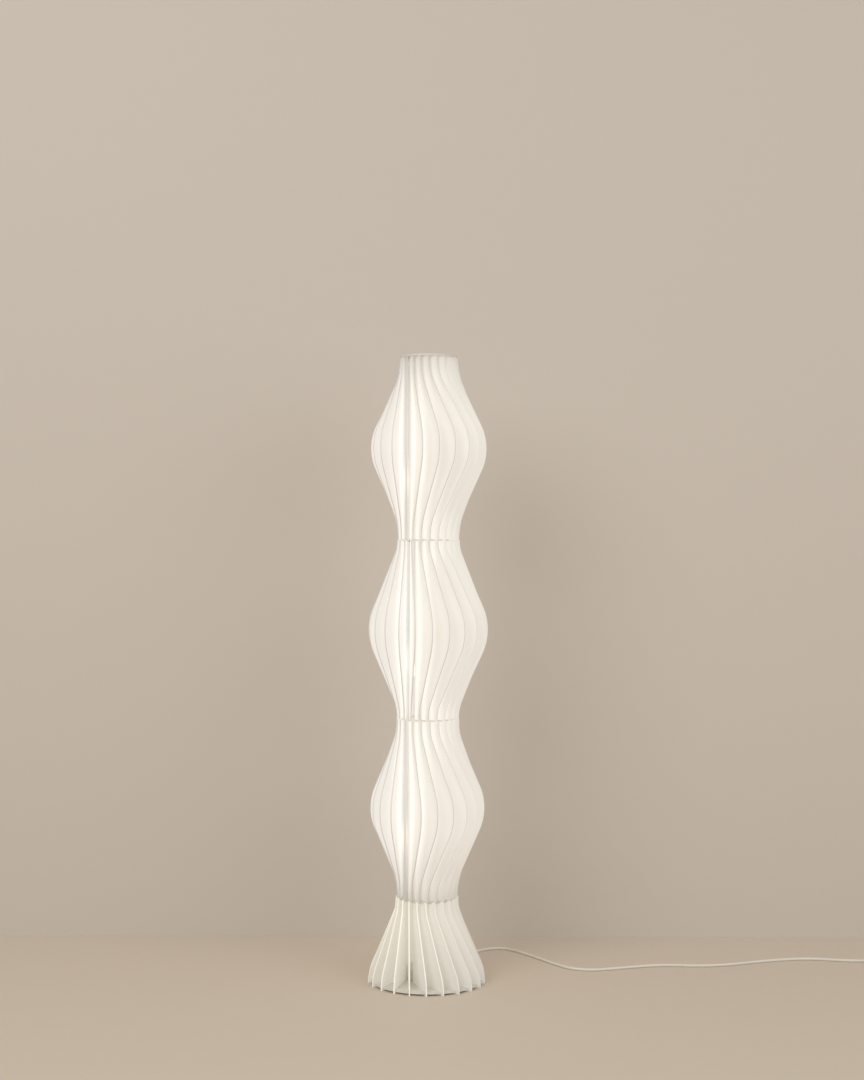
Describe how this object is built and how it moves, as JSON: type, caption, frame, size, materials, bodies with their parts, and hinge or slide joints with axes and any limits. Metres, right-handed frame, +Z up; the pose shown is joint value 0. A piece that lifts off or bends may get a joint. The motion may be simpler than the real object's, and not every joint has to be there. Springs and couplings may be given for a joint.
{
  "type": "floor lamp",
  "caption": "Tall floor lamp: stacked bulging tiers of slanted opal fins around a mast with bulbs, on a flared finned foot, with a cord and foot switch.",
  "frame": {"origin": "centre of the foot, on the floor", "axes": "+Z up along the mast, -Y towards the front as pictured, +X to the lamp's right as seen from the front"},
  "size_m": [1.4575, 0.4562, 1.498],
  "materials": {
    "opal_lit": "3 mm opal sheet, satin, lit from inside",
    "opal_unlit": "3 mm opal sheet, satin",
    "ring_white": "opaque white sheet",
    "plate_white": "white powder coat",
    "mast_white": "white powder coat, gloss",
    "ballast_iron": "dark painted casting",
    "rubber_grey": "moulded rubber",
    "screw_steel": "zinc plated",
    "insert_brass": "turned",
    "thumb_white": "white enamel",
    "holder_white": "moulded",
    "cap_metal": "bare pressed cap",
    "bulb_opal": "opal glass, lit",
    "wire_white": "flexible PVC",
    "box_white": "moulded",
    "block_ivory": "moulded",
    "cord_cream": "flexible PVC sheath",
    "switch_white": "moulded",
    "button_white": "moulded",
    "plug_white": "moulded onto the cord",
    "pin_nickel": "nickel plated"
  },
  "bodies": {
    "lamp": {"ballast": "ballast_iron", "base_plate": "plate_white", "clamp_screws": "screw_steel", "cord_boot": "cord_cream", "cord_clamp_base": "box_white", "cord_clamp_cap": "box_white", "cord_coil": "cord_cream", "cord_inlet": "cord_cream", "cord_link": "cord_cream", "cord_run": "cord_cream", "cord_tail": "cord_cream", "flange_screws": "screw_steel", "foot_disc": "ring_white", "foot_fins": "opal_unlit", "foot_screws": "screw_steel", "foot_switch_base": "switch_white", "foot_switch_block": "block_ivory", "foot_switch_cover": "switch_white", "foot_switch_screws": "screw_steel", "holder_nipples": "insert_brass", "holder_nuts": "screw_steel", "inner_lead": "wire_white", "joint_nuts": "screw_steel", "joint_screws": "screw_steel", "lamp_leads": "wire_white", "lower_bottom_ring": "ring_white", "lower_bulb_caps": "cap_metal", "lower_bulbs": "bulb_opal", "lower_fins": "opal_lit", "lower_lamp_bracket": "mast_white", "lower_lampholders": "holder_white", "lower_top_ring": "ring_white", "mast_flange": "mast_white", "mast_insert": "insert_brass", "mast_tube": "mast_white", "middle_bottom_ring": "ring_white", "middle_bulb_caps": "cap_metal", "middle_bulbs": "bulb_opal", "middle_fins": "opal_lit", "middle_lamp_bracket": "mast_white", "middle_lampholders": "holder_white", "middle_top_ring": "ring_white", "plug_body": "plug_white", "plug_pins": "pin_nickel", "rubber_feet": "rubber_grey", "set_screws": "screw_steel", "spider_screws": "screw_steel", "terminal_block": "block_ivory", "terminal_box": "box_white", "terminal_lid": "box_white", "thumb_screw": "thumb_white", "top_spider": "mast_white", "upper_bottom_ring": "ring_white", "upper_bulb_caps": "cap_metal", "upper_bulbs": "bulb_opal", "upper_fins": "opal_lit", "upper_lamp_bracket": "mast_white", "upper_lampholders": "holder_white", "upper_top_ring": "ring_white"},
    "switch_button": {"foot_switch_button": "button_white"}
  },
  "joints": [
    {"name": "foot_switch_press", "type": "slide", "parent": "lamp", "child": "switch_button", "axis": [0, 0, -1], "range_m": [0, 0.003], "stiffness_N_per_m": 600, "springref_m": -0.002}
  ]
}
